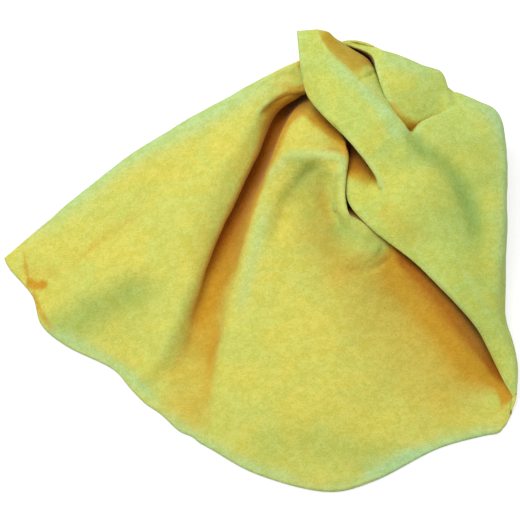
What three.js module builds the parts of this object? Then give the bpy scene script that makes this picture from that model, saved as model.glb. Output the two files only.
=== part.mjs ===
// A chamois leather: one oil-tanned skin, pinched up near one side and laid down on a table.
// Millimetres, +Z up, origin on the table under the middle of the heap.
import * as THREE from 'three';

// Driving dimensions of the skin and its main folds.
const SKIN_THICKNESS = 1.5;
const PEAK_HEIGHT = 84;
const STRIP_HEIGHT = 76;
const ARCH_HEIGHT = 58;
const SHOULDER_HEIGHT = 47;
const PANEL_HEIGHT = 46;
const LAPEL_HEIGHT = 46;
const BACK_RIDGE_HEIGHT = 61;
const RIGHT_BAND_HEIGHT = 37;
const FAN_REACH = 204.5;
const PANEL_REACH = 229.5;
const LEAST_SPREAD = 0.4;

// Height of the middle of leather that lies flat on the table.
const FLAT = SKIN_THICKNESS / 2;

// The skin is drawn by ribs that run from the pinch to the rim, in order across the skin.
// Each rib is a few points [right, back, height] that the leather passes through.

// Left fan: hem on the table behind it, its long ridge, its belly, and the side and the shoulder
// where it rolls over into the valley.
const backHem = [
  [62, 180, FLAT], [20, 170, FLAT], [-20, 148, FLAT], [-64, 122, FLAT],
  [-108, 92, FLAT], [-156, 51, FLAT], [-FAN_REACH, 1, FLAT],
];
const fanRidge = [
  [48, 158, ARCH_HEIGHT + 4], [20, 149, ARCH_HEIGHT + 1], [-16, 130.5, 50], [-60, 108.5, 39],
  [-104, 82.5, 27], [-152, 46, 12.5], [3.5 - FAN_REACH, -8, FLAT],
];
const fanBelly = [
  [44, 138, ARCH_HEIGHT - 1], [5, 130, ARCH_HEIGHT - 0.5], [-20, 97, 50], [-57, 52, 39.5],
  [-84, 10, 29], [-114, -38, 15], [49.5 - FAN_REACH, -85.5, FLAT],
];
const fanSide = [
  [38, 128, ARCH_HEIGHT - 4], [8, 112, ARCH_HEIGHT - 3], [-9.5, 73.5, SHOULDER_HEIGHT],
  [-33, 25.5, 38], [-50.5, -19, 29], [-68.5, -81, 15], [-102.5, -127.5, FLAT],
];
const fanShoulder = [
  [37, 126, SHOULDER_HEIGHT + 5], [17.5, 112, SHOULDER_HEIGHT + 1], [-3.5, 69.5, SHOULDER_HEIGHT - 10],
  [-24.5, 22, 28], [-41, -21, 21], [-59.5, -83.5, 11], [-90, -143, FLAT],
];

// Valley between the left fan and the centre panel.
const valleyLeft = [
  [18, 150, 34], [14, 127, 25], [-9, 80, 16], [-30, 29, 11],
  [-46, -15, 8], [-63, -83, 4.5], [-80, -152, FLAT],
];
const valleyFloor = [
  [31, 156, 24], [21, 130.5, 21], [1, 80.5, 14], [-20, 28, 9],
  [-34.5, -17.5, 6], [-49, -87, 3], [-64, -170, FLAT],
];
const valleyRight = [
  [42, 154, 25], [25, 124.5, 29], [5, 74, 24], [-13.5, 22, 19],
  [-25, -26.5, 14], [-37.5, -92, 5], [-54, -175.5, FLAT],
];

// Centre panel: the ridge beside the valley, the broad panel and the fold that ends in a lip.
const panelRidge = [
  [47, 128, PANEL_HEIGHT - 5], [31, 106, PANEL_HEIGHT + 2], [11, 66, PANEL_HEIGHT - 3],
  [-5, 14.5, 35], [-14, -35, 28], [-27, -96.5, 14.5], [-42, -186, FLAT],
];
const panelLeft = [
  [52, 114, PANEL_HEIGHT - 3], [41.5, 88, PANEL_HEIGHT + 1], [30, 42, 38], [24, -12, 31],
  [16, -66, 25], [4, -140, 16], [-4, 18 - PANEL_REACH, FLAT],
];
const panelMiddle = [
  [60, 106, PANEL_HEIGHT - 5], [52, 73, PANEL_HEIGHT], [50, 34, 39], [54, -20, 31],
  [54, -78, 24], [54, -152, 17], [56, -PANEL_REACH, FLAT],
];
const panelLip = [
  [66, 95, PANEL_HEIGHT - 5], [70.5, 79, PANEL_HEIGHT - 0.5], [71.5, 64.5, PANEL_HEIGHT + 1.5],
  [68.5, 51, PANEL_HEIGHT + 1], [67.5, 36, PANEL_HEIGHT - 0.5], [68, 21.5, 43.5], [72, 10, 41.5],
  [85, 0.5, 38], [99, -25, 25], [105.5, -63, 17], [100, -120, 13], [96, -168, 8],
  [90, 10.5 - PANEL_REACH, FLAT],
];

// Pocket under the lapel, where the skin lies flat on the table and turns back over itself.
const pocketMouth = [
  [58, 98, 31], [57, 84, 31], [57, 70, 31.5], [57, 53, 31], [57.5, 36, 30.5], [60, 24, 30],
  [68, 20, 31], [88, 6, 31], [118, -22, 14], [126, -60, 8], [134, -110, 5.5], [134, -152, 3],
  [136, -189, FLAT],
];
const pocketFloor = [
  [80, 150, FLAT], [100, 135, FLAT], [120, 112, FLAT], [138, 80, FLAT],
  [152, 20, FLAT], [164, -75, FLAT], [172, -176.5, FLAT],
];
const pocketTurn = [
  [70, 180, FLAT], [110, 176, FLAT], [140, 158, FLAT], [166, 132, FLAT],
  [187, 66, FLAT], [188, -66, FLAT], [190.5, -167.5, FLAT],
];

// Turned-over part, from the peak down to the lower right corner: its foot on the table, its
// flank, the back ridge that becomes the right band, the rim of the roll and the gutter beside
// the strip, the facet, crest and left edge of the strip, the tuck under it and the lapel's edge.
const turnFoot = [
  [68, 190, 4], [84, 195, 4], [108, 189, 4], [126, 182, 4], [142, 172, 4.5], [157, 159, 5],
  [170, 145, 5.5], [183, 131, 6], [192.5, 113, 7], [197.5, 86, 9], [197, 40, 11], [196, -12, 12],
  [195, -72, 10], [203.5, -115, 7], [197.5, -158, 2.5],
];
const turnFlank = [
  [68, 182, 34], [80, 185, 38], [103, 179, 36], [120, 171, 36], [135, 162, 35], [148, 151, 34],
  [161, 141, 31], [177, 132, 29], [189, 119, 28], [196.5, 91, 25], [196.5, 45, 23], [195, -5, 22],
  [194.5, -66, 18], [203.5, -107, 13], [201.5, -151, 4.5],
];
const backRidge = [
  [66, 172, 58], [74, 171, BACK_RIDGE_HEIGHT + 4], [98, 163, BACK_RIDGE_HEIGHT + 2],
  [114, 157, BACK_RIDGE_HEIGHT + 1], [128, 150, BACK_RIDGE_HEIGHT - 1], [141, 148, 55], [151, 137.5, 47],
  [171, 127, 44], [181, 121, 42], [188, 86, RIGHT_BAND_HEIGHT + 3], [188, 43, RIGHT_BAND_HEIGHT + 1],
  [187, -6, RIGHT_BAND_HEIGHT - 3], [190, -71, 25.5], [201.5, -105, 17.5], [202, -145, 6.5],
];
const rollRim = [
  [64, 168, 66], [73, 167, BACK_RIDGE_HEIGHT], [93, 157, BACK_RIDGE_HEIGHT + 2], [99, 140, 62.5],
  [107, 118.5, 58], [115, 108.5, 51.5], [128, 105, 43], [145, 108, 52], [151, 96, 52],
  [157, 69, 48.5], [161, 32, 44], [166.5, -5.3, 38.8], [185, -73, 28.3], [199, -111.5, 19],
  [200.5, -147.5, 7.2],
];
const gutter = [
  [61, 166, 73], [72, 160, 44], [88, 150, 43], [95, 138, 46], [103, 120, 44], [112, 103, 39.5],
  [122, 99, 36], [129, 94, 56], [136, 82, 56], [141, 59, 53], [145, 26, 48], [155, -8, 40.5],
  [182.5, -75.5, 28.8], [198.3, -116, 18.4], [198.7, -150.5, 7.2],
];
const stripFacet = [
  [56, 167, PEAK_HEIGHT - 3], [67, 160, 70.5], [81, 151, 65.5], [88, 133.5, 65], [98, 116, 62.5],
  [108.5, 101, 59], [117, 89, 56.5], [121.5, 79.5, 60], [126, 70, 58.5], [128, 49, 55], [129, 21.5, 51],
  [146, -16, 41.2], [179, -79, 28.7], [197.6, -120.3, 17.2], [196.5, -154, 6.8],
];
const stripCrest = [
  [46, 168, PEAK_HEIGHT], [55, 151, STRIP_HEIGHT + 4], [68, 134, STRIP_HEIGHT + 1],
  [78.5, 121.5, STRIP_HEIGHT - 0.5], [93, 105, STRIP_HEIGHT - 3], [105.5, 91.5, STRIP_HEIGHT - 6.5],
  [114, 83, STRIP_HEIGHT - 11], [117, 75, 62], [117, 62, 60.5], [117, 44, LAPEL_HEIGHT + 10.5],
  [116, 19, LAPEL_HEIGHT + 6.5], [140, -24, LAPEL_HEIGHT - 5], [176.5, -81.5, 28.2],
  [196.8, -123, 16], [194.7, -156.5, 6.3],
];
const stripEdge = [
  [30, 168, PEAK_HEIGHT - 2], [32, 144, STRIP_HEIGHT + 1], [34, 125, STRIP_HEIGHT - 3],
  [38, 110, STRIP_HEIGHT - 6], [49, 92, STRIP_HEIGHT - 8], [68, 71, STRIP_HEIGHT - 12.5],
  [78, 59, STRIP_HEIGHT - 16], [86, 49, 57], [92, 42, 54.5], [97.5, 33, LAPEL_HEIGHT + 5.5],
  [104, 16, LAPEL_HEIGHT + 5], [136, -28.5, LAPEL_HEIGHT - 5.5], [174.5, -84, 27.5],
  [196, -125.5, 14.8], [193, -158.5, 5.8],
];
const tuck = [
  [52, 160, 72], [60, 142, 66], [68, 126, 61], [76, 112, 58], [86, 98, 54], [91, 87, 45], [94, 78, 37],
  [94.5, 69, 34], [94.5, 54, 39], [93, 33, LAPEL_HEIGHT], [93, 15, LAPEL_HEIGHT + 2.5],
  [132, -33, LAPEL_HEIGHT - 7], [172.5, -86.5, 26.5], [195, -128, 13.2], [191.5, -160.3, 5.3],
];
const lapelEdge = [
  [60, 150, 62], [66, 134, 56], [70, 120, 51], [72, 108, 46], [73, 97, 40], [73, 88, 34],
  [72.5, 79, 31], [70.5, 67, 33.5], [69.5, 50, 37.5], [69.5, 32, 38.5], [76, 12, LAPEL_HEIGHT - 3],
  [128, -37, LAPEL_HEIGHT - 9], [170.5, -89, 25], [194, -130.5, 11.2], [189.5, -162.5, 4.8],
];

const RIBS = [
  backHem, fanRidge, fanBelly, fanSide, fanShoulder,
  valleyLeft, valleyFloor, valleyRight,
  panelRidge, panelLeft, panelMiddle, panelLip,
  pocketMouth, pocketFloor, pocketTurn,
  turnFoot, turnFlank, backRidge, rollRim, gutter,
  stripFacet, stripCrest, stripEdge, tuck, lapelEdge,
];

// Places down the ribs where the leather has a row of points, counted in points of the lapel's
// edge: two to a point, but one to a point round the notch and the hook of the knot.
const LAST_PLACE = lapelEdge.length - 1;
const KNOT_START = 5;
const KNOT_END = 9;
const rowPlaces = [];
for (let place = 0; place <= LAST_PLACE; place++) {
  rowPlaces.push(place);
  if (place < LAST_PLACE && (place < KNOT_START || place >= KNOT_END)) {
    rowPlaces.push(place + 0.5);
  }
}
const ROWS = rowPlaces.length;

const columns = RIBS.length;
const curves = RIBS.map((rib) => new THREE.CatmullRomCurve3(rib.map((p) => new THREE.Vector3(...p))));

// Middle surface of the leather, one column of points on each rib, never under the table.
const middle = [];
for (const place of rowPlaces) {
  for (const curve of curves) {
    const p = curve.getPoint(place / LAST_PLACE);
    p.z = Math.max(p.z, FLAT);
    middle.push(p);
  }
}

function at(row, column) {
  const r = Math.min(Math.max(row, 0), ROWS - 1);
  const c = Math.min(Math.max(column, 0), columns - 1);
  return middle[r * columns + c];
}

// Upward normal of the patch of leather that starts at one point and spans to the next ones.
function patchNormal(row, column) {
  const r = Math.min(Math.max(row, 0), ROWS - 2);
  const c = Math.min(Math.max(column, 0), columns - 2);
  const down = at(r + 1, c + 1).clone().sub(at(r, c));
  const over = at(r, c + 1).clone().sub(at(r + 1, c));
  return down.cross(over).normalize();
}

// Step from the middle surface to the upper face of the leather. Flat leather steps straight up,
// and at a fold the step is longer, so that both sides of the fold keep their thickness.
function halfThickness(row, column) {
  if (at(row, column).z <= FLAT) {
    return new THREE.Vector3(0, 0, SKIN_THICKNESS / 2);
  }
  const patches = [];
  for (const r of [row - 1, row]) {
    for (const c of [column - 1, column]) {
      patches.push(patchNormal(r, c));
    }
  }
  const step = patches.reduce((sum, n) => sum.add(n), new THREE.Vector3()).normalize();
  const spread = Math.min(...patches.map((n) => n.dot(step)));
  return step.multiplyScalar(SKIN_THICKNESS / 2 / Math.max(spread, LEAST_SPREAD));
}

// Both faces of the skin, half a thickness to either side of the middle surface.
function skinGeometry() {
  const positions = [];
  for (const side of [1, -1]) {
    for (let row = 0; row < ROWS; row++) {
      for (let column = 0; column < columns; column++) {
        const p = at(row, column).clone().addScaledVector(halfThickness(row, column), side);
        positions.push(p.x, p.y, Math.max(p.z, 0));
      }
    }
  }
  const under = ROWS * columns;
  const index = [];
  const quad = (a, b, c, d) => index.push(a, b, c, a, c, d);
  for (let row = 0; row < ROWS - 1; row++) {
    for (let column = 0; column < columns - 1; column++) {
      const a = row * columns + column;
      const b = a + columns;
      quad(a, b, b + 1, a + 1);
      quad(under + a, under + a + 1, under + b + 1, under + b);
    }
  }
  for (let column = 0; column < columns - 1; column++) {
    const top = column;
    const rim = (ROWS - 1) * columns + column;
    quad(top, top + 1, under + top + 1, under + top);
    quad(rim + 1, rim, under + rim, under + rim + 1);
  }
  for (let row = 0; row < ROWS - 1; row++) {
    const first = row * columns;
    const last = first + columns - 1;
    quad(first + columns, first, under + first, under + first + columns);
    quad(last, last + columns, under + last + columns, under + last);
  }
  const geometry = new THREE.BufferGeometry();
  geometry.setAttribute('position', new THREE.Float32BufferAttribute(positions, 3));
  geometry.setIndex(index);
  geometry.computeBoundingBox();
  const box = geometry.boundingBox;
  const centre = box.getCenter(new THREE.Vector3());
  geometry.translate(-centre.x, -centre.y, -box.min.z);
  geometry.computeVertexNormals();
  return geometry;
}

const leather = new THREE.MeshStandardMaterial({ color: 0xd2ce5f, roughness: 0.95, metalness: 0 });
const skin = new THREE.Mesh(skinGeometry(), leather);
skin.name = 'chamois_skin';

const part = new THREE.Group();
part.name = 'chamois_leather';
part.add(skin);

export default part;
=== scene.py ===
"""A chamois leather: one oil-tanned skin, pinched up near one side and laid down on a table.

The skin is drawn by ribs that run from the pinch to the rim, in order across the skin, as in the
part's source, with finer ribs at the knot. Rib points are millimetres, right, back and up, and the
finished skin is moved so that it lies where the CAD skin lies. Creases are given where the line of
sight from the front, past the crease, meets the table.
"""

import math

import bmesh
import bpy
import numpy as np
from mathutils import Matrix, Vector, noise
from mathutils.bvhtree import BVHTree


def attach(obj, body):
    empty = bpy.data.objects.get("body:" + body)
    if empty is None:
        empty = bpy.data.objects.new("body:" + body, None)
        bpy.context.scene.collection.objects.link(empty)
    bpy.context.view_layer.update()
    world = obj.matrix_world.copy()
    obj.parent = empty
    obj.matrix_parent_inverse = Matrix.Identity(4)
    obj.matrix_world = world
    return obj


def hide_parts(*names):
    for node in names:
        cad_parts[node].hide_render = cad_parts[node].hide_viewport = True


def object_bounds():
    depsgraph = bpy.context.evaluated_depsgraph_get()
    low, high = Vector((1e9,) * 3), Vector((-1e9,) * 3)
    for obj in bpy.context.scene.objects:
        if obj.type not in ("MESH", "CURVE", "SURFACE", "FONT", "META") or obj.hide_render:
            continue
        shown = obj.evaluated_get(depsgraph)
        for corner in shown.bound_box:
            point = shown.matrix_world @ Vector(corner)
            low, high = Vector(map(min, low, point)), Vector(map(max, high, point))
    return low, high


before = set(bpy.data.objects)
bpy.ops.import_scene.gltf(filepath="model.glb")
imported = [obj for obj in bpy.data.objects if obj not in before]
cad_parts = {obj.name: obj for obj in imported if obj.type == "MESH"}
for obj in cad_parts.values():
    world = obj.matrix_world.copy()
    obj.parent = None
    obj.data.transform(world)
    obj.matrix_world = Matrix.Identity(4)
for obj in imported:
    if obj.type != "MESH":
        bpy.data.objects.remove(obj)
cad_low, cad_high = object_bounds()

MM = 0.001
TINY = 1e-6

# Thickness of the leather, and the height of its middle where it lies flat.
SKIN_THICKNESS = 1.5
FLAT = SKIN_THICKNESS / 2

# Grid of the skin, with its columns wider apart where the skin is hidden and closer at the knot.
COLUMNS = 225
ROWS = 205
HIDDEN_SHARE = 0.35
KNOT_SHARE = 1.5

# Viewing angle of the photograph, the width of the table that fills its frame, and the lens.
VIEW_ELEVATION = math.radians(53.13)
VIEW_WIDTH = 0.416
SIGHT = 1 / math.tan(VIEW_ELEVATION)
LENS = 1000
SENSOR = 36
CLIP_END = 100

# Left fan: hem on the table behind it, its long ridge, a shallow crease, its belly, its front and
# the shoulder where it turns down into the valley.
BACK_HEM = [
    (62, 180, FLAT), (20, 170, FLAT), (-20, 148, FLAT), (-64, 122, FLAT),
    (-108, 92, FLAT), (-156, 51, FLAT), (-204.5, 1, FLAT),
]
FAN_RIDGE = [
    (48, 158, 62), (20, 149, 59), (-16, 130.5, 50), (-60, 108.5, 39),
    (-104, 82.5, 27), (-152, 46, 12.5), (-201, -8, FLAT),
]
FAN_CREASE = [
    (46, 142, 58), (12, 138, 57.5), (-19, 113, 49.5), (-58, 72, 37),
    (-96, 36, 25), (-136, 1, 11.5), (-181.5, -37, FLAT),
]
FAN_CORNER = [
    (43.5, 138, 57), (5, 131, 57), (-21, 101.5, 50), (-58.5, 60.5, 39.5),
    (-91, 24, 29), (-126, -24, 14), (-174.5, -65, FLAT),
]
FAN_BELLY = [
    (41, 134, 56), (1, 123, 57), (-21, 90, 51), (-57, 47, 41),
    (-80, 5, 31), (-110, -46, 17), (-155, -85.5, FLAT),
]
FAN_FRONT = [
    (39, 130, 55), (1.5, 116, 56), (-17.5, 79, 51), (-48, 29, 41.5),
    (-67, -18, 30.5), (-84, -73.5, 15.5), (-116, -110, FLAT),
]
FAN_SIDE = [
    (37, 129, 54), (5, 113, 54.5), (-12.5, 74.5, 47), (-36, 26.5, 38),
    (-53.5, -18, 29), (-71, -80, 15), (-103.5, -127.5, FLAT),
]
FAN_SHOULDER = [
    (36, 131, 47), (14, 118, 41), (-5.5, 71, 36), (-26.5, 23, 27),
    (-43.5, -20, 20), (-63, -82, 10), (-91, -143, FLAT),
]

# Valley between the left fan and the centre panel.
VALLEY_LEFT = [
    (18, 150, 34), (12, 124, 30), (-11, 76, 20), (-31, 26, 14),
    (-45.5, -18, 10), (-57, -84, 5), (-79, -153, FLAT),
]
VALLEY_FLOOR = [
    (31, 153, 28), (20, 123.5, 30), (0, 74, 22), (-21, 23, 15),
    (-36, -20, 9), (-50, -87, 3), (-64, -170, FLAT),
]
VALLEY_RIGHT = [
    (42, 148, 33), (25, 120, 36), (5, 71, 28), (-13.5, 19, 23),
    (-25, -28, 16), (-37.5, -92, 5), (-54, -175.5, FLAT),
]

# Centre panel: the ridge beside the valley, the broad panel and the fold that ends in a lip.
PANEL_CHEEK = [
    (41.5, 131.5, 42), (23, 104.5, 48), (8, 65, 40), (-8, 14, 33),
    (-17.5, -34.5, 26), (-31, -95.5, 12.5), (-48, -181.5, FLAT),
]
PANEL_RIDGE = [
    (47, 120, 52), (34.5, 99.5, 56), (13.5, 66.5, 43.5), (-2.5, 15, 36),
    (-12, -35.5, 28.5), (-25.5, -97, 15), (-38.5, -188, FLAT),
]
PANEL_LEFT = [
    (52, 106, 54), (47, 93, 56), (41, 78, 56), (34.5, 62, 53.5), (28, 45, 39.5),
    (25, 19, 34), (23, -12, 31), (19.5, -40, 28), (16, -66, 25), (10, -104, 20.5),
    (4, -140, 16), (0, -178, 9), (-4, -211.5, FLAT),
]
PANEL_MIDDLE = [
    (60, 98, 52), (57.5, 84, 54), (54.5, 69, 54), (53, 56, 50), (54, 39, 37),
    (55.5, 12, 30.5), (57, -17, 26), (55.5, -48, 24.5), (54, -78, 24), (53.5, -114, 21),
    (54, -152, 17), (55, -192, 9), (56, -229.5, FLAT),
]
PANEL_LIP = [
    (66, 88, 50), (69.5, 73.5, 54), (70.5, 60.5, 53), (68, 48.5, 50.5), (67, 34.5, 47.5),
    (67.5, 21, 44.5), (72, 10, 41.5), (87, 0.5, 39), (101, -22, 28), (107, -62, 19),
    (102, -120, 14), (96, -168, 8), (90, -219, FLAT),
]

# Pocket under the lapel, where the skin lies flat on the table and turns back over itself.
POCKET_MOUTH = [
    (58, 98, 31), (58, 76, 40), (59, 66, 40), (59, 52, 38), (58.5, 36, 34),
    (60, 24, 32), (71, 20, 35), (95, 7, 36), (124, -24, 24), (152, -60, 17.5),
    (173, -103, 9), (166, -148, 3.5), (142, -186.6, FLAT),
]
POCKET_FLOOR = [
    (80, 150, FLAT), (100, 135, FLAT), (120, 112, FLAT), (138, 80, FLAT),
    (162, 15, FLAT), (186, -90, 4), (178, -174.3, FLAT),
]
POCKET_TURN = [
    (70, 180, FLAT), (110, 176, FLAT), (140, 158, FLAT), (166, 132, FLAT),
    (187, 66, FLAT), (193, -80, 3), (190, -171, FLAT),
]

# Turned-over part, from the peak down to the lower right corner: its foot on the table, its flank,
# the back ridge that becomes the edge of the right band, the band, the roll behind the strip, the rim
# of that roll, the gutter, the edge, facet and crest of the strip, its left edge, the tuck, the patch
# beside the hook and the lapel's edge.
TURN_FOOT = [
    (38, 186, 4), (84, 195, 4), (108, 189, 4), (126, 182, 4), (142, 172, 4.5),
    (157, 159, 5), (170, 145, 5.5), (183, 131, 6), (192.5, 113, 7), (197.5, 86, 9),
    (197, 40, 11), (196, -12, 12), (195, -72, 10), (203.5, -115, 7), (199.5, -154, 1.2),
]
TURN_FLANK = [
    (42, 179, 34), (80, 185, 38), (103, 179, 36), (120, 171, 36), (135, 162, 35),
    (148, 151, 34), (161, 141, 31), (177, 132, 28), (191, 121, 24), (197, 92, 20),
    (197, 46, 18), (195.2, -4.5, 17), (194.5, -66, 18), (203.5, -107, 12.5), (202.3, -146.5, 1.9),
]
BACK_RIDGE = [
    (53, 171, 57), (74, 171, 65), (98, 163, 63), (114, 157, 62), (128, 150, 60),
    (141, 148, 55), (151, 137.5, 47), (172, 127, 43.5), (188, 120, 40), (196, 87, 36.5),
    (196, 43.5, 34.5), (194, -6, 30.5), (190.5, -71, 25), (201.8, -104.3, 16), (203.6, -139, 3),
]
BAND = [
    (57, 170, 61), (75.5, 171, 65), (98.5, 161, 65.5), (110.5, 148, 65.5), (122, 135, 62.5),
    (134, 129, 56), (146, 122, 48), (162, 120.5, 47.5), (180, 115, 45), (190, 83, 40.5),
    (190.5, 41, 38), (188.5, -5.5, 34), (188.6, -71.5, 26.8), (200.9, -106.4, 17), (203.5, -138.6, 3.2),
]
ROLL = [
    (64, 168, 66), (77, 171, 64), (98.5, 158, 66.5), (105.5, 137.5, 66), (115, 118, 60),
    (126.5, 109, 52), (140, 105.5, 44), (150, 112, 50), (156, 100, 50), (162, 72, 47),
    (166, 35, 42.5), (170.5, -5, 38), (186, -72.5, 28), (200.2, -108.5, 17), (203.3, -138.4, 3.3),
]
ROLL_RIM = [
    (62.5, 166, 70), (73.5, 167, 63), (89.5, 157.5, 64), (93.5, 139.75, 67), (101, 115.25, 63.5),
    (109, 101.75, 58), (120, 94.5, 46), (141, 105, 53), (147, 93, 53), (152, 66, 50),
    (156, 30, 45.5), (162.5, -5.5, 39.5), (184, -74, 28.5), (199.4, -111.3, 16.5), (203.1, -138.4, 3.3),
]
GUTTER = [
    (61, 166, 73), (77, 177, 45), (87, 173, 38), (97, 152, 42), (105, 128, 42),
    (114, 112, 38), (122, 104, 36), (129, 94, 56), (136, 82, 56), (141, 59, 53),
    (145, 26, 48), (155, -8, 40.5), (182.5, -75.5, 28.6), (198.8, -113.8, 15.4), (202.9, -138.4, 3.4),
]
STRIP_RIGHT = [
    (59, 166, 76), (71, 164, 66), (86, 157, 60), (93, 140, 60), (101, 119, 58),
    (110, 103.4, 54.5), (118.5, 92.5, 50), (123, 81, 59.5), (129, 73, 57.5), (132, 51, 54.5),
    (135, 22, 50), (149.5, -12.5, 41), (180.5, -77, 28), (198.2, -116, 14.2), (202.7, -138.5, 3.4),
]
STRIP_FACET = [
    (54, 167, 82.5), (65, 158, 73), (78, 147, 69.5), (85, 127, 71.5), (96.5, 111.6, 69),
    (108, 96.6, 65.5), (116.5, 85.5, 62), (121, 79, 60.5), (124, 68, 59.5), (125, 48, 56),
    (127, 20, 51.5), (144, -16.5, 38.5), (178.5, -78, 26.8), (197.7, -118, 13), (202.5, -138.6, 3.4),
]
STRIP_CREST = [
    (46, 168, 84), (55, 151, 80), (68, 134, 77), (78.5, 121.5, 75.5), (93, 105, 73),
    (105.5, 91.5, 69.5), (114, 83, 65), (117, 75, 62), (117, 62, 60.5), (117, 44, 56.5),
    (118.5, 17, 52), (139.5, -21.5, 37), (176.5, -79.5, 25.6), (197, -119.6, 11.5), (202.3, -138.8, 3.4),
]
STRIP_LEFT = [
    (30, 168, 82), (32, 144, 77), (34, 125, 73), (38.5, 110.5, 70), (50.5, 93.5, 68),
    (69.8, 73, 63.5), (79.8, 61, 60), (87.6, 51, 57), (93, 43.2, 54.5), (98, 31, 51),
    (109, 10.5, 48.5), (135, -25.5, 35), (175, -80.9, 24.2), (196.2, -122, 10), (202.1, -139, 3.4),
]
TUCK = [
    (52, 160, 72), (60, 142, 66), (68, 126, 61), (76, 112, 58), (86, 98, 54),
    (91, 89, 46), (94, 81, 41), (94.5, 70, 40), (94.5, 54, 42), (92, 30, 47),
    (102, 6, 45.5), (131, -29, 33), (173.6, -82.3, 22), (195.5, -124.4, 8.4), (201.9, -139.2, 3.4),
]
HOOK_PATCH = [
    (56, 155, 67), (63, 138, 61), (69, 123, 56), (74, 110, 52), (80, 97, 47),
    (82, 88, 41), (83, 79, 40), (79, 65, 45.5), (80, 48, 48.5), (79.5, 27, 46),
    (96, 1.5, 43), (129.5, -30.2, 31.2), (173, -82.8, 20.4), (195, -125.7, 7.2), (201.7, -139.4, 3.3),
]
LAPEL_EDGE = [
    (60, 150, 62), (66, 134, 56), (70, 120, 51), (72, 108, 46), (73, 95, 42),
    (73, 88, 37.5), (72.5, 79, 39), (69.3, 64.75, 45), (69, 47.5, 48), (70.5, 25, 44),
    (91, -2, 40.5), (128.3, -31, 29.5), (172.7, -83, 18.8), (194.5, -127.3, 6), (201.5, -139.7, 3.2),
]

RIBS = [
    BACK_HEM, FAN_RIDGE, FAN_CREASE, FAN_CORNER, FAN_BELLY, FAN_FRONT, FAN_SIDE, FAN_SHOULDER,
    VALLEY_LEFT, VALLEY_FLOOR, VALLEY_RIGHT,
    PANEL_CHEEK, PANEL_RIDGE, PANEL_LEFT, PANEL_MIDDLE, PANEL_LIP,
    POCKET_MOUTH, POCKET_FLOOR, POCKET_TURN,
    TURN_FOOT, TURN_FLANK, BACK_RIDGE, BAND, ROLL, ROLL_RIM, GUTTER,
    STRIP_RIGHT, STRIP_FACET, STRIP_CREST, STRIP_LEFT, TUCK, HOOK_PATCH, LAPEL_EDGE,
]

# Ribs along which the leather is folded sharply, and how near to them it is bent.
SHARP_RIBS = [PANEL_CHEEK, ROLL_RIM, STRIP_RIGHT, STRIP_CREST, STRIP_LEFT]
SHARP_SHARE = 0.14

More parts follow.
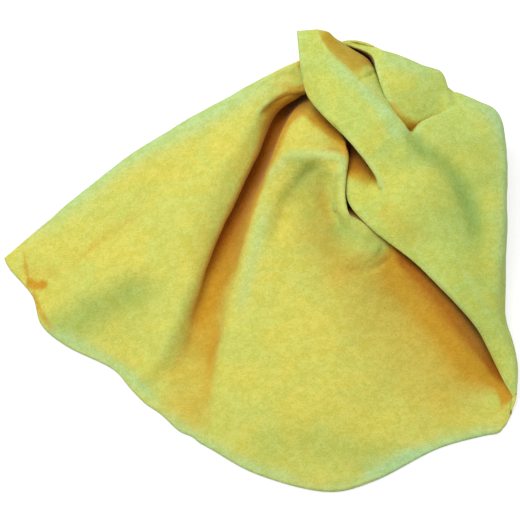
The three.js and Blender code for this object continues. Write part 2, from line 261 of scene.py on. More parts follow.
# Smaller creases and soft ridges: the line in millimetres right and back where the line of sight
# past it meets the table, half its width, its height, and the first and last rib that it crosses.
CREASES = [
    # Groove and ridge across the top of the panel, and the ridge that turns down the centre fold.
    ([(22, 114), (46, 115), (72, 112)], 4.0, -2.4, PANEL_RIDGE, PANEL_LIP),
    ([(16, 97), (26, 102), (46, 103), (60, 102), (68, 95)], 5.0, 2.4, PANEL_CHEEK, PANEL_LIP),
    ([(66, 106), (65, 85), (64.5, 66), (66.5, 47), (73, 35)], 4.0, 2.4, PANEL_LEFT, PANEL_LIP),
    # Slack beside the centre fold and the dent that runs down and left from it.
    ([(54, 96), (52, 78), (53, 60), (59, 44), (70, 30)], 5.5, -2.6, PANEL_LEFT, PANEL_LIP),
    ([(54, 97), (42, 91), (32, 79), (24, 65), (18, 46), (14, 26), (12, 4)], 7.0, -5.0,
     PANEL_RIDGE, PANEL_LIP),
    # Soft bump of the panel against the lapel, the crease above it and the crease under it.
    ([(64, 34), (74, 28), (86, 22), (98, 15)], 4.0, -1.4, PANEL_LEFT, PANEL_LIP),
    ([(76, 16), (86, 12), (96, 8)], 8.0, 3.0, PANEL_MIDDLE, PANEL_LIP),
    ([(58, -5), (74, -9), (90, -8), (101, -1), (109, 8)], 2.8, -2.4, PANEL_LEFT, POCKET_MOUTH),
    # Dimple below the tip of the hook.
    ([(97, 74), (93, 66), (85, 62)], 3.0, -1.8, STRIP_CREST, HOOK_PATCH),
    # Tuck round the top of the valley, in the fan's shoulder.
    ([(40, 166), (24, 165), (16, 161), (8, 153), (-2, 140)], 2.6, -3.6, FAN_BELLY, FAN_SHOULDER),
    # Faint crease and broad bend on the fan.
    ([(-75, 69), (-93, 53), (-123, 18), (-148, -2), (-170, -23)], 6.0, -2.6, BACK_HEM, FAN_FRONT),
    ([(-82, 2), (-106, -16), (-128, -30), (-146, -48)], 15.0, 5.0, FAN_RIDGE, FAN_FRONT),
    # Lower ends of the fan's front and of the panel's ridge, beside the foot of the valley.
    ([(-50, -4), (-58, -30), (-70, -70), (-85, -106), (-99, -132)], 7.0, 3.6, FAN_BELLY, VALLEY_LEFT),
    ([(-16, -46), (-25, -90), (-27, -132), (-30, -190)], 6.0, 2.4, VALLEY_RIGHT, PANEL_LEFT),
    # Bend across the left corner.
    ([(-188, 13), (-186, -11), (-181, -34)], 3.0, -1.6, BACK_HEM, FAN_BELLY),
    # Slack from the notch down the right band.
    ([(114, 136), (122, 122), (130, 110), (147, 95), (158, 77), (168, 50), (174, 20), (177, -10)],
     8.0, -2.6, TURN_FLANK, STRIP_LEFT),
    # Sharp crest of the strip, and the lower end of the flap at its peak.
    ([(46, 220), (68, 192), (84, 171), (102, 149), (120, 127)], 1.8, 1.2, STRIP_FACET, STRIP_LEFT),
    ([(77, 179), (85, 183), (93, 189)], 1.8, -1.6, STRIP_RIGHT, STRIP_CREST),
    # Wrinkles of the roll, the edge at its right and the lower facet behind it.
    ([(102, 172), (114, 162), (128, 156), (142, 154)], 2.0, -0.8, BACK_RIDGE, ROLL_RIM),
    ([(104, 160), (112, 152), (124, 146), (136, 146)], 2.0, -0.9, BACK_RIDGE, ROLL_RIM),
    ([(141, 196), (146, 182), (151, 160), (153, 150)], 2.2, 1.6, TURN_FLANK, ROLL_RIM),
    ([(146, 194), (151, 181), (156, 164), (158, 152)], 3.0, -2.6, TURN_FLANK, ROLL_RIM),
]
# Points along a line, the share of it that tapers at each end, and the ribs over which a crease or a
# line of painted shade or highlight fades out.
LINE_POINTS = 60
LINE_TAPER = 0.22
CREASE_FADE = 0.5
MARK_FADE = 0.12

# Painted ochre shade along lines: the line, half its width, its strength, and the ribs that it keeps
# between; a negative strength paints less shade.
OCHRE_SHADE_LINES = [
    # Middle of the panel, the hollow under the lapel and the floor close to the lapel's edge.
    ([(22, 36), (44, 20), (62, 2), (84, -20)], 22, 0.065),
    ([(60, 20), (92, -50), (130, -110), (186, -164)], 42, 0.085),
    ([(84, -10), (116, -22), (146, -58), (172, -98), (198, -136)], 20, 0.15),
    ([(104, 6), (114, -3), (128, -17), (142, -34), (168, -74), (184, -106), (194, -128)], 4, 0.5),
    ([(102, 8), (124, -20), (138, -40), (152, -60), (168, -80), (184, -108)], 11, 0.24,
     PANEL_LEFT, POCKET_TURN),
    # Flap below the peak, patch beside the hook, the lapel below it and the roll.
    ([(40, 236), (54, 221), (66, 207), (77, 196), (89, 185)], 13, 0.36, STRIP_RIGHT, STRIP_CREST),
    ([(72, 96), (80, 86), (90, 78)], 6, 0.04),
    ([(92, 58), (110, 38), (132, 8)], 16, 0.18),
    ([(104, 178), (122, 165), (142, 158)], 15, 0.1, BACK_RIDGE, ROLL_RIM),
    # Foot of the valley, beside the panel and below the end of the fan's front.
    ([(-29, -52), (-37, -96), (-40, -138), (-42, -180)], 5, 0.05),
    ([(-52, -60), (-64, -98), (-80, -118), (-94, -128)], 4, 0.03),
    # Left corner: round its bend, the crease up the fan, the bend, where they meet, and the rim.
    ([(-194, -6), (-180, -12), (-160, -12)], 9, 0.06),
    ([(-176, -26), (-144, 2), (-118, 27), (-84, 56)], 2.4, 0.07),
    ([(-190, 16), (-187, -8), (-183, -30)], 1.6, 0.1),
    ([(-188, -22), (-178, -26), (-168, -23)], 4, 0.26),
    ([(-182, -26), (-178, -44), (-170, -62), (-160, -80)], 2.6, 0.15),
    # Less painted shade, paler than the folds round them: the arch beside the strip, the strip's edge
    # there, the top of the panel, the lip, the facet below it, the roll's edge beside the strip, the
    # strip's facet there, the roll's foot, the lip of the hole and the lower right corner.
    ([(8, 200), (22, 192), (32, 182), (36, 172)], 8, -0.4),
    ([(30, 196), (34, 180), (38, 166), (48, 152), (64, 138)], 6, -0.6, STRIP_CREST, TUCK),
    ([(20, 132), (44, 126), (76, 118)], 11, -0.13),
    ([(66, 112), (62, 70), (66, 40), (84, 22), (104, 8)], 8, -0.16),
    ([(70, 44), (82, 33), (96, 21), (110, 8)], 6, -0.35, PANEL_LEFT, POCKET_MOUTH),
    ([(84, 198), (92, 182), (99, 168), (106, 154)], 8, -0.4, BAND, STRIP_FACET),
    ([(82, 182), (92, 168), (102, 154), (110, 142)], 7, -0.4, STRIP_RIGHT, STRIP_CREST),
    ([(118, 142), (130, 148), (146, 156)], 7, -0.15, BACK_RIDGE, ROLL_RIM),
    ([(60, 224), (80, 217), (91, 208), (94, 194)], 5, -0.4, BACK_RIDGE, ROLL_RIM),
    ([(182, -150), (194, -144), (208, -136)], 9, -0.16),
]
# Painted shade of the valley at the ribs across it, and its share at places down to the rim.
VALLEY_SHADE = [
    (FAN_FRONT, 0), (FAN_SIDE, -0.06), (FAN_SHOULDER, -0.05), (VALLEY_LEFT, 0.15),
    (VALLEY_RIGHT, 0.23), (PANEL_CHEEK, 0.1), (PANEL_RIDGE, 0),
]
VALLEY_FADE = [
    (0, 1.2), (0.5, 1.15), (0.62, 0.55), (0.7, 0), (0.8, -0.03), (0.88, 0.2), (0.95, 0.42), (1, 0.3),
]
# Painted shade in moss green along lines: the line, half its width, its strength, and the ribs that it
# keeps between.
MOSS_SHADE_LINES = [
    # Left facet of the strip and its lower end, the slack beside the right band, the turned-over
    # leather below it, and the band.
    ([(30, 200), (38, 170), (52, 140)], 12, 0.2),
    ([(90, 114), (104, 103), (120, 90)], 12, 0.25),
    ([(114, 136), (122, 122), (130, 110), (147, 95), (158, 77), (168, 52), (174, 26), (177, -4)],
     9, 0.75),
    ([(132, 90), (150, 50), (166, -10), (184, -60), (198, -110)], 22, 0.32),
    ([(168, 130), (178, 100), (184, 60)], 14, 0.3),
    # End of the fan's front at the valley, the fan's belly, the hollow and middle of the panel, the
    # facet below its lip, and its front.
    ([(-52, -56), (-66, -96), (-82, -116), (-96, -124)], 5, 0.12),
    ([(-172, -84), (-146, -64), (-116, -42), (-84, -8)], 19, 0.6),
    ([(56, 98), (42, 91), (32, 79), (24, 65), (18, 46)], 7, 0.3),
    ([(50, 104), (40, 88), (40, 60), (56, 30), (80, 4)], 18, 0.3),
    ([(40, 40), (70, -4), (104, -34), (136, -70)], 24, 0.12),
    ([(56, 44), (72, 28), (90, 18), (108, 6)], 9, 0.35),
    ([(-24, -188), (10, -182), (50, -182), (90, -196), (120, -200)], 18, 0.25),
]
# Painted highlight in pale mint along lines where ridges, rims and edges turn away: the line, half its
# width, its strength, and the ribs that it keeps between.
MINT_HIGHLIGHT_LINES = [
    # Ridge of the fan, crest and facet of the strip, top of the roll and ridges of the panel.
    ([(-204, 3), (-112, 98), (-48, 142), (34, 198)], 12, 0.75),
    ([(50, 210), (66, 190), (82, 170), (97, 150), (108, 128), (116, 114)], 6, 0.6,
     STRIP_CREST, STRIP_LEFT),
    ([(82, 182), (92, 168), (102, 154), (110, 142)], 7, 0.3, STRIP_RIGHT, STRIP_CREST),
    ([(92, 204), (118, 194), (142, 184)], 9, 0.6),
    ([(2, 66), (12, 88), (26, 104), (56, 105), (66, 95), (65, 60)], 5, 0.35, PANEL_CHEEK, PANEL_LIP),
    ([(8, 66), (-2, 20), (-10, -20), (-20, -70)], 6, 0.45, PANEL_CHEEK, PANEL_MIDDLE),
    # Rim at the front, and the right band where it turns down.
    ([(-186, -64), (-140, -88), (-104, -116), (-76, -150)], 7, 0.7),
    ([(-92, -134), (-60, -170), (-28, -193), (6, -211), (40, -222)], 7, 0.65),
    ([(10, -218), (52, -230), (96, -214), (120, -202)], 9, 0.5),
    ([(76, -212), (104, -204), (136, -190)], 11, 0.5),
    ([(96, -214), (130, -194), (160, -182), (204, -168)], 11, 0.9),
    ([(150, 172), (184, 149), (197, 122), (202, 80), (201, 20), (199, -40)], 9, 0.9),
]
# Share of the way to the rim from which the turned-over leather is evened out, and how often.
EVEN_FROM = 0.72
EVEN_TIMES = 8
# Loose waves of the leather: their size across, their height, and how high up it is fully loose.
WAVES = [(34, 1.1), (13, 0.35)]
LOOSE_HEIGHT = 6

# Depth in the folds, which is painted into the colour as ochre and brown shade: rays for each point,
# their reach, their lean towards the sky, grid points from one point to the next, and how often it is
# evened. Then the radius of a bend that counts as an edge, painted pale as a highlight, and the width
# of the rim, also painted pale as a highlight.
RAYS = 28
RAY_REACH = 90
SKYWARD = Vector((0, 0, 1.0))
SKIP = 2
SHADE_BLUR = 2
CREST_RADIUS = 7
RIM_WIDTH = 3

# Pile of the suede from broad to fine, with the scale and grain of each layer, and the lie of the nap.
PILE_LAYERS = {
    "Patch": (26, {"Detail": 3.0, "Roughness": 0.6, "Distortion": 0.6}),
    "Blotch": (117, {"Detail": 2.0, "Roughness": 0.6, "Distortion": 0.5}),
    "Pebble": (297, {"Detail": 2.0, "Roughness": 0.5, "Distortion": 0.8}),
    "Nap": (900, {"Detail": 3.0, "Roughness": 0.65, "Distortion": 0.4}),
}
PEBBLE_SHARE = 0.6
NAP_TURN = (0, 0, math.radians(-40))
NAP_STRETCH = (0.85, 1, 1)
NAP_STRENGTH = 0.8
NAP_HEIGHT = 0.0009

# Spans over which patches change the colour, crests and rims are painted pale as highlight and deep
# folds are painted brown as shade, and the most that they do.
PATCH_SPAN = (0.38, 0.62)
CREST_SPAN = (0.3, 1.0, 0, 0.55)
RIM_SPAN = (0.3, 1.0, 0, 0.5)
BROWN_SPAN = (0.24, 0.68)
# Specks of the nap and mottle of the pile: their span, and the darkest and palest that they make it.
SPECKLE = {"span": (0.3, 0.7), "grey": (0.89, 1.06), "blue": (0.77, 1.16)}
MOTTLE = {"span": (0.8, 1.2), "grey": (0.94, 1.05), "blue": (0.84, 1.14)}
SUEDE_FINISH = {
    "Roughness": 0.95,
    "Specular IOR Level": 0.15,
    "Sheen Weight": 0.3,
    "Sheen Roughness": 0.35,
    "Sheen Tint": (0.7, 1.0, 0.55, 1),
}

# Floor, and the light of the studio.
FLOOR_SIZE = 6
FLOOR_GAP = 0.0005
FLOOR_COLOUR = (0.8, 0.8, 0.8, 1)
FLOOR_SHOWN_COLOUR = (0.4, 0.4, 0.4, 1)
FLOOR_GLOW = 0.74
WHITE = (1, 1, 1, 1)
AMBIENT = 0.52
KEY_PLACE = (-0.4, 0.35, 1.4)
KEY_SIZE = 1.0
KEY_POWER = 13.2


def spline(points, shares):
    """Smooth curve through points along their first axis, at shares of the way from first to last."""
    points = np.asarray(points, float)
    last = len(points) - 1
    before, after = 2 * points[0] - points[1], 2 * points[-1] - points[-2]
    padded = np.concatenate([[before], points, [after]])
    place = np.clip(np.asarray(shares) * last, 0, last)
    start = np.minimum(place.astype(int), last - 1)
    w = (place - start).reshape((-1,) + (1,) * (points.ndim - 1))
    p0, p1, p2, p3 = (padded[start + i] for i in range(4))

    def gap(a, b):
        return np.maximum(np.linalg.norm(b - a, axis=-1, keepdims=True), TINY) ** 0.5

    d0, d1, d2 = gap(p0, p1), gap(p1, p2), gap(p2, p3)
    leave = ((p1 - p0) / d0 - (p2 - p0) / (d0 + d1) + (p2 - p1) / d1) * d1
    arrive = ((p2 - p1) / d1 - (p3 - p1) / (d1 + d2) + (p3 - p2) / d2) * d1
    w2, w3 = w ** 2, w ** 3
    return ((2 * w3 - 3 * w2 + 1) * p1 + (w3 - 2 * w2 + w) * leave
            + (3 * w2 - 2 * w3) * p2 + (w3 - w2) * arrive)


def blurred(values, times):
    """Values on the grid, averaged with their neighbours a number of times."""
    for _ in range(times):
        for axis in (0, 1):
            ends = [(1, 1) if a == axis else (0, 0) for a in range(values.ndim)]
            wide = np.pad(values, ends, mode="edge")
            first = np.take(wide, range(values.shape[axis]), axis)
            second = np.take(wide, range(2, values.shape[axis] + 2), axis)
            values = (first + 2 * values + second) / 4
    return values


def column_places():
    """Places of the columns, counted in ribs: even steps, longer where hidden, shorter at the knot."""
    ribs = np.stack([spline(rib, np.linspace(0, 1, ROWS)) for rib in RIBS])
    apart = np.linalg.norm(np.diff(ribs, axis=0), axis=-1).mean(axis=1)
    apart[RIBS.index(POCKET_MOUTH):RIBS.index(TURN_FOOT)] *= HIDDEN_SHARE
    apart[RIBS.index(ROLL):RIBS.index(TUCK)] *= KNOT_SHARE
    across = np.append(0, np.cumsum(apart))
    return np.interp(np.linspace(0, across[-1], COLUMNS), across, np.arange(len(RIBS)))


def rib_curves(down):
    """Curves of the ribs, with one close on each side of a sharp rib, and their places."""
    plain = [spline(rib, down) for rib in RIBS]
    curves, places = [], []
    for i, rib in enumerate(RIBS):
        for side in (-1, 0, 1) if rib in SHARP_RIBS else (0,):
            share = SHARP_SHARE * abs(side)
            curves.append(plain[i] + (plain[i + side] - plain[i]) * share)
            places.append(i + SHARP_SHARE * side)
    return np.stack(curves), places


def skin_points(over):
    """Middle of the leather as a grid, columns across the ribs by rows from the pinch to the rim."""
    down = np.linspace(0, 1, ROWS)
    curves, places = rib_curves(down)
    points = spline(curves, np.interp(over, places, np.linspace(0, 1, len(places))))
    turned = over[:, None] >= RIBS.index(TURN_FOOT)
    evened = np.clip((down - EVEN_FROM) / (1 - EVEN_FROM), 0, 1) ** 0.5 * turned
    points += (blurred(points, EVEN_TIMES) - points) * evened[..., None]
    points[..., 2] = np.maximum(points[..., 2], FLAT)
    return points


def face_side(ribs_over):
    """1 where the skin shows its face upwards, -1 where it has been turned over."""
    return np.where(ribs_over < RIBS.index(TURN_FOOT) - 0.5, 1.0, -1.0)


def normals_of(points):
    """Unit normals of the grid, on the face side of the leather."""
    over = np.gradient(points, axis=0)
    down = np.gradient(points, axis=1)
    normals = np.cross(down, over)
    return normals / np.maximum(np.linalg.norm(normals, axis=-1, keepdims=True), TINY)


def near_line(points, line, half_width):
    """How close each point of the grid is to a line seen from the front, from 0 to 1 on the line."""
    seen = np.stack([points[..., 0], points[..., 1] + SIGHT * points[..., 2]], axis=-1)
    shares = np.linspace(0, 1, LINE_POINTS)
    track = spline(line, shares)
    away = np.linalg.norm(seen[:, :, None] - track, axis=-1)
    nearest = away.argmin(axis=2)
    along = shares[nearest]
    ends = np.clip(np.minimum(along, 1 - along) / LINE_TAPER, 0, 1)
    close = np.exp(-(away.min(axis=2) / half_width) ** 2)
    return close * ends * ends * (3 - 2 * ends)


def within(over, first, last, fade):
    """1 for columns from one rib to another, fading to 0 outside them."""
    inside = np.minimum(over - RIBS.index(first), RIBS.index(last) - over)
    return np.clip(inside / fade + 1, 0, 1)[:, None]


def marked(points, over, painted_light):
    """Strength of a set of lines of painted shade or highlight at each point of the grid."""
    total = np.zeros(points.shape[:2])
    for line, half_width, share, *ribs in painted_light:
        kept = within(over, *ribs, MARK_FADE) if ribs else 1
        total += share * near_line(points, line, half_width) * kept
    return total


def with_creases(points, over):
    """The skin with its smaller creases and soft ridges worked into it."""
    shown = normals_of(points) * face_side(over)[:, None, None]
    lift = np.zeros(points.shape[:2])
    for line, half_width, height, first, last in CREASES:
        lift += height * near_line(points, line, half_width) * within(over, first, last, CREASE_FADE)
    loose = np.clip((points[..., 2] - FLAT) / LOOSE_HEIGHT, 0, 1)
    flat_points = points.reshape(-1, 3)
    for size, height in WAVES:
        waves = [noise.noise(Vector(p) / size) for p in flat_points]
        lift += height * loose * np.reshape(waves, lift.shape)
    moved = points + shown * lift[..., None]
    moved[..., 2] = np.maximum(moved[..., 2], FLAT)
    return moved


def ray_fan():
    """Unit directions over a hemisphere, more of them near its axis, in a spiral."""
    steps = np.arange(RAYS) + 0.5
    turn = steps * math.pi * (3 - math.sqrt(5))
    out = np.sqrt(steps / RAYS)
    return np.stack([out * np.cos(turn), out * np.sin(turn), np.sqrt(1 - out ** 2)], axis=-1)


def fold_depth(points, side):
    """How deep in a fold one side of the leather lies: the share of its view that leather blocks."""
    coarse = points[::SKIP, ::SKIP]
    wide, high = coarse.shape[:2]
    corners = [Vector(p) for p in coarse.reshape(-1, 3)]
    quads = [
        (c * high + r, c * high + r + 1, (c + 1) * high + r + 1, (c + 1) * high + r)
        for c in range(wide - 1) for r in range(high - 1)
    ]
    tree = BVHTree.FromPolygons(corners, quads)
    normals = (normals_of(points)[::SKIP, ::SKIP] * side).reshape(-1, 3)
    rays = ray_fan()
    depth = []
    for corner, normal in zip(corners, normals):
        turn = np.array((Vector(normal) + SKYWARD).to_track_quat("Z", "Y").to_matrix())
        start = corner + Vector(normal) * SKIN_THICKNESS
        hits = [tree.ray_cast(start, Vector(ray), RAY_REACH)[3] for ray in rays @ turn.T]
        depth.append(sum(1 - h / RAY_REACH for h in hits if h is not None) / RAYS)
    depth = blurred(np.reshape(depth, (wide, high)), SHADE_BLUR)
    fine = np.stack([
        np.interp(np.arange(ROWS), np.arange(0, ROWS, SKIP), column) for column in depth
    ])
    return np.stack([
        np.interp(np.arange(COLUMNS), np.arange(0, COLUMNS, SKIP), row) for row in fine.T
    ], axis=1)


def crest(points, side):
    """How sharply one side of the leather bends outwards, from 0 on flat leather to 1 on an edge."""
    normals = blurred(normals_of(points), SHADE_BLUR) * side
    bend = np.zeros(points.shape[:2])
    for axis in (0, 1):
        run = np.gradient(points, axis=axis)
        swing = np.gradient(normals, axis=axis)
        bend += np.maximum((swing * run).sum(-1) / np.maximum((run * run).sum(-1), TINY), 0)
    return np.clip(blurred(bend, SHADE_BLUR) * CREST_RADIUS, 0, 1)


def rim_nearness(points):
    """1 on the rim of the skin, fading to 0 a rim's width inside it."""
    step_over = np.linalg.norm(np.diff(points, axis=0), axis=-1)
    step_down = np.linalg.norm(np.diff(points, axis=1), axis=-1)
    from_rim = np.cumsum(step_down[:, ::-1], axis=1)[:, ::-1]
    from_rim = np.pad(from_rim, ((0, 0), (0, 1)))
    from_pinch = np.pad(np.cumsum(step_down, axis=1), ((0, 0), (1, 0)))
    from_hem = np.pad(np.cumsum(step_over, axis=0), ((1, 0), (0, 0)))
    from_lapel = np.pad(np.cumsum(step_over[::-1], axis=0)[::-1], ((0, 1), (0, 0)))
    nearest = np.min([from_rim, from_pinch, from_hem, from_lapel], axis=0)
    return np.clip(1 - nearest / RIM_WIDTH, 0, 1)


def valley_shade(over):
    """Painted shade of the valley between the fan and the panel, strongest at its top."""
    ribs, shares = zip(*VALLEY_SHADE)
    across = np.interp(over, [RIBS.index(rib) for rib in ribs], shares)
    places, left = zip(*VALLEY_FADE)
    return across[:, None] * np.interp(np.linspace(0, 1, ROWS), places, left)


def make_skin(points, over):
    """The skin as one sheet, moved to where the CAD skin lies, with its leather thickness."""
    low, high = points.reshape(-1, 3).min(axis=0), points.reshape(-1, 3).max(axis=0)
    middle = Vector((low + high) / 2) * MM
    move = (cad_low + cad_high) / 2 - middle
    move.z = 0
    # The ochre lines and the valley's shade are painted shade, added to the painted shade from the depth
    # in the folds; moss lines are painted shade and mint lines painted highlight.
    ochre_shade = marked(points, over, OCHRE_SHADE_LINES) + valley_shade(over)
    moss_shade, mint_highlight = marked(points, over, MOSS_SHADE_LINES), marked(points, over, MINT_HIGHLIGHT_LINES)
    rim = rim_nearness(points)
    # Each side stores its painted shade from the depth in the folds and the ochre lines, and how far its
    # crests and rim are painted pale as highlight.
    shades = {
        name: np.stack([fold_depth(points, side) + ochre_shade, crest(points, side), rim], -1)
        for name, side in (("face_shade", 1), ("flesh_shade", -1))
    }
    shades["painted_light"] = np.stack([moss_shade, mint_highlight, np.zeros_like(moss_shade)], -1)
    bm = bmesh.new()
    bmesh.ops.create_grid(bm, x_segments=COLUMNS - 1, y_segments=ROWS - 1, size=0.5)
    layers = {name: bm.verts.layers.float_color.new(name) for name in shades}
    for v in bm.verts:
        column = round((v.co.x + 0.5) * (COLUMNS - 1))
        row = round((v.co.y + 0.5) * (ROWS - 1))
        v.co = Vector(points[column, row]) * MM + move
        for name, layer in layers.items():
            v[layer] = (*shades[name][column, row], 1)
    bmesh.ops.reverse_faces(bm, faces=bm.faces)
    mesh = bpy.data.meshes.new("chamois")
    bm.to_mesh(mesh)
    bm.free()
    mesh.shade_smooth()
    skin = bpy.data.objects.new("chamois", mesh)
    bpy.context.scene.collection.objects.link(skin)
    wall = skin.modifiers.new("thickness", "SOLIDIFY")
    wall.thickness = SKIN_THICKNESS * MM
    wall.offset = 0
    wall.material_offset = 1
    return skin, move


def join(tree, value, socket):
    """A socket set to a value, or joined to another node's output."""
    if isinstance(value, bpy.types.NodeSocket):
        tree.links.new(value, socket)
    else:
        socket.default_value = value


def add(tree, kind, **inputs):
    """A node of a kind, with its inputs set to values or joined to other nodes' outputs."""
    node = tree.nodes.new(kind)
    for name, value in inputs.items():
        join(tree, value, node.inputs[name])
    return node


def worked_out(tree, operation, *values):
    """Result of an operation on values and other nodes' outputs."""
    node = tree.nodes.new("ShaderNodeMath")
    node.operation = operation
    for socket, value in zip(node.inputs, values):
        join(tree, value, socket)
    return node.outputs[0]


def mixed(tree, share, first, second, blend="MIX"):
    """Two colours mixed by a share."""
    node = tree.nodes.new("ShaderNodeMix")
    node.data_type = "RGBA"
    node.blend_type = blend
    colours = [s for s in node.inputs if s.type == "RGBA"]
    for socket, value in zip((node.inputs[0], *colours), (share, first, second)):
        join(tree, value, socket)
    return next(s for s in node.outputs if s.type == "RGBA")


def ranged(tree, value, low, high, to_low=0.0, to_high=1.0):
    """A value brought smoothly from one range to another."""
    node = add(tree, "ShaderNodeMapRange", Value=value)
    node.interpolation_type = "SMOOTHSTEP"
    for name, number in zip(("From Min", "From Max", "To Min", "To Max"), (low, high, to_low, to_high)):
        node.inputs[name].default_value = number
    return node.outputs["Result"]


def srgb(red, green, blue):
    """A colour written as it looks on screen, 0 to 255, as Blender's linear colour."""
    return tuple(((c / 255 + 0.055) / 1.055) ** 2.4 for c in (red, green, blue)) + (1,)


# Colours of the leather as they look on screen: moss green painted as shade and pale mint painted as
# highlight along lines, ochre and brown painted as shade in folds, the crest colour painted pale as
# highlight on crests and rims, and the depth in a fold over which each side turns to its painted
# ochre shade.
MOSS = srgb(150, 182, 92)
MINT = srgb(190, 226, 154)
FACE_COLOURS = {
    "yellow": srgb(228, 220, 99),
    "green": srgb(218, 221, 107),
    "crest": srgb(212, 228, 126),
    "ochre_shade": srgb(215, 163, 46),
    "brown_shade": srgb(190, 116, 24),
    "shade_range": (0.0, 0.2),
}
FLESH_COLOURS = {
    "yellow": srgb(218, 222, 103),
    "green": srgb(206, 223, 116),
    "crest": srgb(206, 230, 140),
    "ochre_shade": srgb(212, 178, 54),
    "brown_shade": srgb(180, 118, 26),
    "shade_range": (0.06, 0.4),
}


def suede_pile():
    """Short brushed pile: patches of colour, mottle, speckle of the nap, and its height."""
    tree = bpy.data.node_groups.new("suede_pile", "ShaderNodeTree")
    tree.interface.new_socket("Vector", in_out="INPUT", socket_type="NodeSocketVector")
    for name in PILE_LAYERS:
        tree.interface.new_socket(name + " Scale", in_out="INPUT", socket_type="NodeSocketFloat")
    for name in ("Patches", "Mottle", "Speckle", "Height"):
        tree.interface.new_socket(name, in_out="OUTPUT", socket_type="NodeSocketFloat")
    given = tree.nodes.new("NodeGroupInput").outputs
    result = tree.nodes.new("NodeGroupOutput").inputs
    layers = {}
    for name, (_, grain) in PILE_LAYERS.items():
        scale = given[name + " Scale"]
        layer = add(tree, "ShaderNodeTexNoise", Vector=given["Vector"], Scale=scale, **grain)
        layers[name] = layer.outputs["Fac"]
    mottle = worked_out(tree, "ADD", layers["Blotch"], layers["Pebble"])
    height = worked_out(tree, "MULTIPLY_ADD", layers["Pebble"], PEBBLE_SHARE, layers["Nap"])
    tree.links.new(layers["Patch"], result["Patches"])
    tree.links.new(mottle, result["Mottle"])
    tree.links.new(layers["Nap"], result["Speckle"])
    tree.links.new(height, result["Height"])
    return tree


def stored(tree, name):
    """Red, green and blue of a colour attribute of the mesh."""
    attribute = tree.nodes.new("ShaderNodeAttribute")
    attribute.attribute_name = name
    return add(tree, "ShaderNodeSeparateColor", Color=attribute.outputs["Color"]).outputs


def specked(tree, value, specks):
    """Dark and pale specks from one layer of the pile, bluer where they are pale."""
    grey, blue = (ranged(tree, value, *specks["span"], *specks[name]) for name in ("grey", "blue"))
    return add(tree, "ShaderNodeCombineColor", Red=grey, Green=grey, Blue=blue).outputs["Color"]


def suede(name, pile, shade, colours):
    """One side of the leather, from its open colours to the ochre and brown shade painted deep in its
    folds.
    """
    mat = bpy.data.materials.new(name)
    mat.use_nodes = True
    tree = mat.node_tree
    bsdf = tree.nodes["Principled BSDF"]
    place = tree.nodes.new("ShaderNodeTexCoord").outputs["Object"]
    lie = add(tree, "ShaderNodeMapping", Vector=place, Rotation=NAP_TURN, Scale=NAP_STRETCH)
    group = tree.nodes.new("ShaderNodeGroup")
    group.node_tree = pile
    tree.links.new(lie.outputs["Vector"], group.inputs["Vector"])
    for layer, (scale, _) in PILE_LAYERS.items():
        group.inputs[layer + " Scale"].default_value = scale
    fold, painted_light = stored(tree, shade), stored(tree, "painted_light")
    patches = ranged(tree, group.outputs["Patches"], *PATCH_SPAN)
    colour = mixed(tree, patches, colours["yellow"], colours["green"])
    # Crests, where the leather bends outwards, and the rim are painted pale as a highlight.
    colour = mixed(tree, ranged(tree, fold["Green"], *CREST_SPAN), colour, colours["crest"])
    colour = mixed(tree, ranged(tree, fold["Blue"], *RIM_SPAN), colour, colours["crest"])
    # Deep folds, the ochre lines and the valley are painted ochre, then brown, as shade.
    colour = mixed(tree, ranged(tree, fold["Red"], *colours["shade_range"]), colour, colours["ochre_shade"])
    colour = mixed(tree, ranged(tree, fold["Red"], *BROWN_SPAN), colour, colours["brown_shade"])
    # Moss lines are painted shade.
    colour = mixed(tree, painted_light["Red"], colour, MOSS)
    # Mint lines are painted highlight.
    colour = mixed(tree, painted_light["Green"], colour, MINT)
    for output, specks in (("Speckle", SPECKLE), ("Mottle", MOTTLE)):
        colour = mixed(tree, 1.0, colour, specked(tree, group.outputs[output], specks), "MULTIPLY")
    tree.links.new(colour, bsdf.inputs["Base Color"])
    for socket, value in SUEDE_FINISH.items():
        bsdf.inputs[socket].default_value = value
    bump = add(tree, "ShaderNodeBump", Height=group.outputs["Height"], Strength=NAP_STRENGTH,
               Distance=NAP_HEIGHT)
    tree.links.new(bump.outputs["Normal"], bsdf.inputs["Normal"])
    return mat


def seen_by_camera(tree):
    """1 for rays that come from the camera, straight or by way of a gloss or glass."""
    path = tree.nodes.new("ShaderNodeLightPath").outputs
    total = path["Is Camera Ray"]
    for name in ("Is Glossy Ray", "Is Transmission Ray"):
        total = worked_out(tree, "MAXIMUM", total, path[name])
    return total


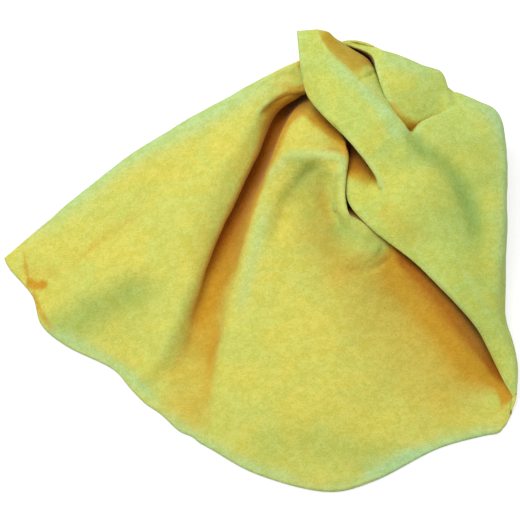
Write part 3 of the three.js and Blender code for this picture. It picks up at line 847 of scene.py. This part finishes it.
def make_floor():
    """Pale floor that looks white in the open and keeps a soft shadow under the skin."""
    bm = bmesh.new()
    bmesh.ops.create_grid(bm, x_segments=1, y_segments=1, size=FLOOR_SIZE / 2)
    bmesh.ops.translate(bm, verts=bm.verts, vec=(0, 0, -FLOOR_GAP))
    mesh = bpy.data.meshes.new("floor")
    bm.to_mesh(mesh)
    bm.free()
    floor = bpy.data.objects.new("floor", mesh)
    bpy.context.scene.collection.objects.link(floor)
    mat = bpy.data.materials.new("white_table")
    mat.use_nodes = True
    tree = mat.node_tree
    tree.nodes.remove(tree.nodes["Principled BSDF"])
    bounce = add(tree, "ShaderNodeBsdfDiffuse", Color=FLOOR_COLOUR)
    shadowed = add(tree, "ShaderNodeBsdfDiffuse", Color=FLOOR_SHOWN_COLOUR)
    glow = add(tree, "ShaderNodeEmission", Color=WHITE, Strength=FLOOR_GLOW)
    shown = tree.nodes.new("ShaderNodeAddShader")
    tree.links.new(shadowed.outputs[0], shown.inputs[0])
    tree.links.new(glow.outputs[0], shown.inputs[1])
    choice = tree.nodes.new("ShaderNodeMixShader")
    tree.links.new(seen_by_camera(tree), choice.inputs[0])
    tree.links.new(bounce.outputs[0], choice.inputs[1])
    tree.links.new(shown.outputs[0], choice.inputs[2])
    tree.links.new(choice.outputs[0], tree.nodes["Material Output"].inputs["Surface"])
    mesh.materials.append(mat)


def make_world():
    """Even studio light from all round, seen as plain white."""
    world = bpy.data.worlds.new("studio")
    world.use_nodes = True
    tree = world.node_tree
    background = tree.nodes["Background"]
    background.inputs["Color"].default_value = WHITE
    level = add(tree, "ShaderNodeMapRange", Value=seen_by_camera(tree))
    level.inputs["To Min"].default_value = AMBIENT
    level.inputs["To Max"].default_value = 1.0
    tree.links.new(level.outputs["Result"], background.inputs["Strength"])
    bpy.context.scene.world = world


def make_lamp(name, place, size, power):
    """Soft square lamp that points at the skin and isn't seen itself."""
    light = bpy.data.lights.new(name, "AREA")
    light.size = size
    light.energy = power
    lamp = bpy.data.objects.new(name, light)
    lamp.location = place
    lamp.rotation_euler = (-Vector(place)).to_track_quat("-Z", "Y").to_euler()
    lamp.visible_camera = False
    bpy.context.scene.collection.objects.link(lamp)


def make_camera(aim):
    """Long lens at the photograph's viewing angle."""
    back = Vector((0, -math.cos(VIEW_ELEVATION), math.sin(VIEW_ELEVATION)))
    data = bpy.data.cameras.new("camera")
    data.lens = LENS
    data.sensor_width = SENSOR
    data.clip_end = CLIP_END
    camera = bpy.data.objects.new("camera", data)
    camera.location = aim + back * (VIEW_WIDTH * LENS / SENSOR)
    camera.rotation_euler = (-back).to_track_quat("-Z", "Y").to_euler()
    bpy.context.scene.collection.objects.link(camera)
    bpy.context.scene.camera = camera


over = column_places()
skin, move = make_skin(with_creases(skin_points(over), over), over)
pile = suede_pile()
skin.data.materials.append(suede("suede_face", pile, "face_shade", FACE_COLOURS))
skin.data.materials.append(suede("suede_flesh", pile, "flesh_shade", FLESH_COLOURS))
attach(skin, "root")
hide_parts("chamois_skin")

make_floor()
make_world()
make_lamp("key", KEY_PLACE, KEY_SIZE, KEY_POWER)
make_camera(move)
bpy.context.scene.view_settings.view_transform = "Standard"
